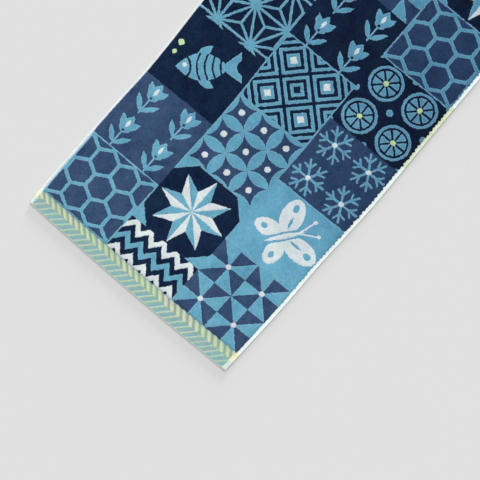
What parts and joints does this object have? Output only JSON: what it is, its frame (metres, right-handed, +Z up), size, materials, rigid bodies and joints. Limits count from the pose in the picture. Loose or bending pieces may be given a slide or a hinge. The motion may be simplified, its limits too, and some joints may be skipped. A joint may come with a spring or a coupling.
{
  "type": "hand towel",
  "caption": "Flat hand towel of woven cotton: cut pile field, flat herringbone hem band at each short end and white selvedges down the long sides.",
  "frame": {"origin": "middle of the towel's box, on the surface it lies on", "axes": "+X across the towel, +Y along its length away from the hem with the slanted corner, +Z up out of the pile"},
  "size_m": [0.3504, 0.8014, 0.0034],
  "materials": {
    "cotton_pile": "velvety cut cotton pile in navy, slate, light blue and white, with a smoother woven hem in light blue and pale yellow"
  },
  "bodies": {
    "root": {"towel": "cotton_pile"}
  },
  "joints": []
}
